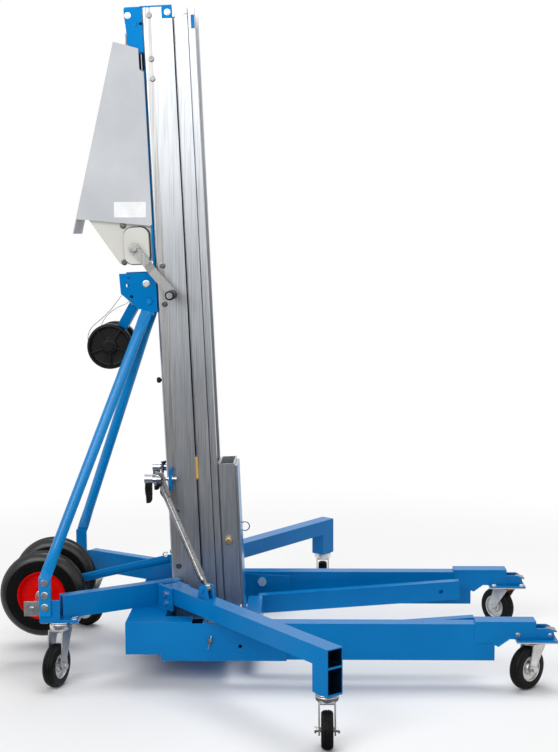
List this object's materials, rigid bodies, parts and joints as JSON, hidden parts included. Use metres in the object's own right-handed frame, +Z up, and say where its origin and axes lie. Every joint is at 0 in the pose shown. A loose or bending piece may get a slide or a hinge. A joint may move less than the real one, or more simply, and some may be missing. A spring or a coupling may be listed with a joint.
{
  "type": "winch stacker",
  "caption": "Hand-cranked mast lift with telescoping columns, forks, folding legs, swing-out stabilisers with braces, swivel casters and tip-back transport wheels.",
  "frame": {"origin": "on the floor, at the centre of the outline seen from above", "axes": "+X towards the fork tips, +Y to the left, +Z up"},
  "size_m": [1.648, 1.6554, 1.9652],
  "materials": {
    "blue_paint": "semi-gloss powder coat",
    "aluminium": "satin extrusion",
    "zinc": "bright zinc plate",
    "cream_paint": "gloss enamel",
    "silver_sheet": "satin silver paint",
    "black_plastic": "moulded",
    "yellow_plastic": "moulded",
    "wire_rope": "stranded wire",
    "tyre": "moulded tread, red pressed hub",
    "black_rubber": "moulded"
  },
  "bodies": {
    "base": {"base_frame": "blue_paint", "rear_arm_left": "blue_paint", "rear_arm_right": "blue_paint", "wheel_axle": "zinc", "centre_brace": "blue_paint", "mast_strut_left": "blue_paint", "mast_strut_right": "blue_paint", "frame_bolts": "zinc", "column_1": "aluminium", "glide_pads": "yellow_plastic", "head_bracket": "blue_paint", "winch_frame": "cream_paint", "winch_gear_cover": "cream_paint", "hoist_rope": "wire_rope", "winch_cover": "silver_sheet", "winch_bracket": "blue_paint", "stud_lugs": "blue_paint"},
    "inner_column": {"column_2": "aluminium"},
    "front_column": {"column_3": "aluminium"},
    "lift_carriage": {"carriage": "aluminium", "fork_frame": "blue_paint", "fork_left": "blue_paint", "fork_right": "blue_paint"},
    "lock_pin_carriage": {"carriage_pin": "zinc"},
    "sheave": {"head_sheave": "zinc"},
    "drum": {"winch_drum": "zinc"},
    "crank": {"crank": "zinc"},
    "crank_grip": {"crank_grip": "black_plastic"},
    "loading_arm": {"loading_arm": "blue_paint", "arm_lanyard": "wire_rope"},
    "loading_wheel_left": {"loading_wheel_left": "black_rubber"},
    "transport_wheel_left": {"transport_wheel_left": "tyre"},
    "leg_left": {"leg_left": "blue_paint"},
    "leg_lock_pin_left": {"leg_lock_pin_left": "zinc"},
    "leg_pedal_left": {"leg_pedal_left": "zinc"},
    "stabiliser_left": {"stabiliser_left": "blue_paint"},
    "brace_left": {"brace_left": "zinc"},
    "brace_knob_left": {"brace_knob_left": "zinc"},
    "caster_leg_left": {"caster_fork_leg_left": "zinc"},
    "caster_wheel_leg_left": {"caster_wheel_leg_left": "black_rubber"},
    "caster_rear_left": {"caster_fork_rear_left": "zinc"},
    "caster_wheel_rear_left": {"caster_wheel_rear_left": "black_rubber"},
    "rear_brake_left": {"rear_brake_left": "zinc"},
    "caster_stab_left": {"caster_fork_stab_left": "zinc"},
    "caster_wheel_stab_left": {"caster_wheel_stab_left": "black_rubber"},
    "loading_wheel_right": {"loading_wheel_right": "black_rubber"},
    "transport_wheel_right": {"transport_wheel_right": "tyre"},
    "leg_right": {"leg_right": "blue_paint"},
    "leg_lock_pin_right": {"leg_lock_pin_right": "zinc"},
    "leg_pedal_right": {"leg_pedal_right": "zinc"},
    "stabiliser_right": {"stabiliser_right": "blue_paint"},
    "brace_right": {"brace_right": "zinc"},
    "brace_knob_right": {"brace_knob_right": "zinc"},
    "caster_leg_right": {"caster_fork_leg_right": "zinc"},
    "caster_wheel_leg_right": {"caster_wheel_leg_right": "black_rubber"},
    "caster_rear_right": {"caster_fork_rear_right": "zinc"},
    "caster_wheel_rear_right": {"caster_wheel_rear_right": "black_rubber"},
    "rear_brake_right": {"rear_brake_right": "zinc"},
    "caster_stab_right": {"caster_fork_stab_right": "zinc"},
    "caster_wheel_stab_right": {"caster_wheel_stab_right": "black_rubber"}
  },
  "joints": [
    {"name": "column_2_lift", "type": "slide", "parent": "base", "child": "inner_column", "axis": [-0.0412, 0, 0.9992], "range_m": [0, 1.34], "deforming": ["hoist_rope"]},
    {"name": "column_3_lift", "type": "slide", "parent": "inner_column", "child": "front_column", "axis": [-0.0412, 0, 0.9992], "range_m": [0, 1.34]},
    {"name": "carriage_lift", "type": "slide", "parent": "front_column", "child": "lift_carriage", "axis": [-0.0412, 0, 0.9992], "range_m": [0, 1.34]},
    {"name": "carriage_pin_pull", "type": "slide", "parent": "lift_carriage", "child": "lock_pin_carriage", "axis": [0, -1, 0], "range_m": [0, 0.06]},
    {"name": "sheave_spin", "type": "hinge", "parent": "base", "child": "sheave", "pos_m": [-0.39188, 0, 1.91164], "axis": [0, -1, 0], "range_deg": [0, 2163.7]},
    {"name": "drum_spin", "type": "hinge", "parent": "base", "child": "drum", "pos_m": [-0.40032, 0, 1.29076], "axis": [0, -1, 0], "range_deg": [0, 3979]},
    {"name": "crank_spin", "type": "hinge", "parent": "base", "child": "crank", "pos_m": [-0.40073, 0, 1.25702], "axis": [0, -1, 0], "range_deg": [-9181.1, 0]},
    {"name": "grip_spin", "type": "hinge", "parent": "crank", "child": "crank_grip", "pos_m": [-0.28443, -0.092, 1.12492], "axis": [0, -1, 0], "continuous": true},
    {"name": "loading_arm_swing", "type": "hinge", "parent": "base", "child": "loading_arm", "pos_m": [-0.36766, 0, 1.15399], "axis": [0, 1, 0], "range_deg": [0, 60]},
    {"name": "loading_wheel_left_spin", "type": "hinge", "parent": "loading_arm", "child": "loading_wheel_left", "pos_m": [-0.48202, 0.057, 0.96612], "axis": [0, 1, 0], "continuous": true},
    {"name": "transport_wheel_left_spin", "type": "hinge", "parent": "base", "child": "transport_wheel_left", "pos_m": [-0.694, 0.094, 0.215], "axis": [0, 1, 0], "continuous": true},
    {"name": "leg_left_fold", "type": "hinge", "parent": "base", "child": "leg_left", "pos_m": [-0.041, 0.295, 0.158], "axis": [0, -1, 0], "range_deg": [0, 90]},
    {"name": "leg_lock_pin_left_draw", "type": "slide", "parent": "base", "child": "leg_lock_pin_left", "axis": [0, 1, 0], "range_m": [0, 0.0334]},
    {"name": "leg_pedal_left_press", "type": "hinge", "parent": "leg_left", "child": "leg_pedal_left", "pos_m": [0.777, 0.295, 0.16], "axis": [0, 1, 0], "range_deg": [0, 12]},
    {"name": "stabiliser_left_fold", "type": "hinge", "parent": "base", "child": "stabiliser_left", "pos_m": [-0.283, 0.172, 0.24], "axis": [0.7934, -0.6088, 0], "range_deg": [0, 80]},
    {"name": "brace_left_fold", "type": "hinge", "parent": "stabiliser_left", "child": "brace_left", "pos_m": [-0.17829, 0.30846, 0.288], "axis": [0.7934, -0.6088, 0], "range_deg": [-113, 0]},
    {"name": "brace_knob_left_spin", "type": "hinge", "parent": "base", "child": "brace_knob_left", "pos_m": [-0.333, 0.104, 0.57], "axis": [1, 0, 0], "continuous": true},
    {"name": "caster_leg_left_swivel", "type": "hinge", "parent": "leg_left", "child": "caster_leg_left", "pos_m": [0.763, 0.295, 0.138], "axis": [0, 0, 1], "continuous": true},
    {"name": "caster_wheel_leg_left_roll", "type": "hinge", "parent": "caster_leg_left", "child": "caster_wheel_leg_left", "pos_m": [0.74243, 0.31951, 0.0625], "axis": [0.766, 0.6428, 0], "continuous": true},
    {"name": "caster_rear_left_swivel", "type": "hinge", "parent": "base", "child": "caster_rear_left", "pos_m": [-0.607, 0.288, 0.186], "axis": [0, 0, 1], "continuous": true},
    {"name": "caster_wheel_rear_left_roll", "type": "hinge", "parent": "caster_rear_left", "child": "caster_wheel_rear_left", "pos_m": [-0.63331, 0.29758, 0.0625], "axis": [0.342, 0.9397, 0], "continuous": true},
    {"name": "rear_brake_left_press", "type": "hinge", "parent": "caster_rear_left", "child": "rear_brake_left", "pos_m": [-0.63331, 0.29758, 0.0625], "axis": [-0.342, -0.9397, 0], "range_deg": [0, 15]},
    {"name": "caster_stab_left_swivel", "type": "hinge", "parent": "stabiliser_left", "child": "caster_stab_left", "pos_m": [0.16261, 0.75274, 0.138], "axis": [0, 0, 1], "continuous": true},
    {"name": "caster_wheel_stab_left_roll", "type": "hinge", "parent": "caster_stab_left", "child": "caster_wheel_stab_left", "pos_m": [0.16261, 0.77773, 0.05], "axis": [1, 0, 0], "continuous": true},
    {"name": "loading_wheel_right_spin", "type": "hinge", "parent": "loading_arm", "child": "loading_wheel_right", "pos_m": [-0.48202, -0.057, 0.96612], "axis": [0, 1, 0], "continuous": true},
    {"name": "transport_wheel_right_spin", "type": "hinge", "parent": "base", "child": "transport_wheel_right", "pos_m": [-0.694, -0.094, 0.215], "axis": [0, 1, 0], "continuous": true},
    {"name": "leg_right_fold", "type": "hinge", "parent": "base", "child": "leg_right", "pos_m": [-0.041, -0.295, 0.158], "axis": [0, -1, 0], "range_deg": [0, 90]},
    {"name": "leg_lock_pin_right_draw", "type": "slide", "parent": "base", "child": "leg_lock_pin_right", "axis": [0, -1, 0], "range_m": [0, 0.0334]},
    {"name": "leg_pedal_right_press", "type": "hinge", "parent": "leg_right", "child": "leg_pedal_right", "pos_m": [0.777, -0.295, 0.16], "axis": [0, 1, 0], "range_deg": [0, 12]},
    {"name": "stabiliser_right_fold", "type": "hinge", "parent": "base", "child": "stabiliser_right", "pos_m": [-0.283, -0.172, 0.24], "axis": [-0.7934, -0.6088, 0], "range_deg": [0, 80]},
    {"name": "brace_right_fold", "type": "hinge", "parent": "stabiliser_right", "child": "brace_right", "pos_m": [-0.17829, -0.30846, 0.288], "axis": [-0.7934, -0.6088, 0], "range_deg": [-113, 0]},
    {"name": "brace_knob_right_spin", "type": "hinge", "parent": "base", "child": "brace_knob_right", "pos_m": [-0.333, -0.104, 0.57], "axis": [1, 0, 0], "continuous": true},
    {"name": "caster_leg_right_swivel", "type": "hinge", "parent": "leg_right", "child": "caster_leg_right", "pos_m": [0.763, -0.295, 0.138], "axis": [0, 0, 1], "continuous": true},
    {"name": "caster_wheel_leg_right_roll", "type": "hinge", "parent": "caster_leg_right", "child": "caster_wheel_leg_right", "pos_m": [0.73922, -0.31641, 0.0625], "axis": [-0.6691, 0.7431, 0], "continuous": true},
    {"name": "caster_rear_right_swivel", "type": "hinge", "parent": "base", "child": "caster_rear_right", "pos_m": [-0.607, -0.288, 0.186], "axis": [0, 0, 1], "continuous": true},
    {"name": "caster_wheel_rear_right_roll", "type": "hinge", "parent": "caster_rear_right", "child": "caster_wheel_rear_right", "pos_m": [-0.61519, -0.31478, 0.0625], "axis": [-0.9563, 0.2924, 0], "continuous": true},
    {"name": "rear_brake_right_press", "type": "hinge", "parent": "caster_rear_right", "child": "rear_brake_right", "pos_m": [-0.61519, -0.31478, 0.0625], "axis": [0.9563, -0.2924, 0], "range_deg": [0, 15]},
    {"name": "caster_stab_right_swivel", "type": "hinge", "parent": "stabiliser_right", "child": "caster_stab_right", "pos_m": [0.16261, -0.75274, 0.138], "axis": [0, 0, 1], "continuous": true},
    {"name": "caster_wheel_stab_right_roll", "type": "hinge", "parent": "caster_stab_right", "child": "caster_wheel_stab_right", "pos_m": [0.16261, -0.77773, 0.05], "axis": [-1, 0, 0], "continuous": true}
  ],
  "couplings": [
    {"joint": "column_3_lift", "follows": "column_2_lift", "ratio": 1},
    {"joint": "carriage_lift", "follows": "column_2_lift", "ratio": 1},
    {"joint": "sheave_spin", "follows": "column_2_lift", "rad_per_m": 28.169},
    {"joint": "drum_spin", "follows": "column_2_lift", "rad_per_m": 51.813},
    {"joint": "crank_spin", "follows": "column_2_lift", "rad_per_m": -119.57},
    {"joint": "leg_lock_pin_left_draw", "follows": "leg_left_fold", "m_per_rad": 0.02},
    {"joint": "brace_left_fold", "follows": "stabiliser_left_fold", "ratio": -1.4},
    {"joint": "leg_lock_pin_right_draw", "follows": "leg_right_fold", "m_per_rad": 0.02},
    {"joint": "brace_right_fold", "follows": "stabiliser_right_fold", "ratio": -1.4}
  ]
}
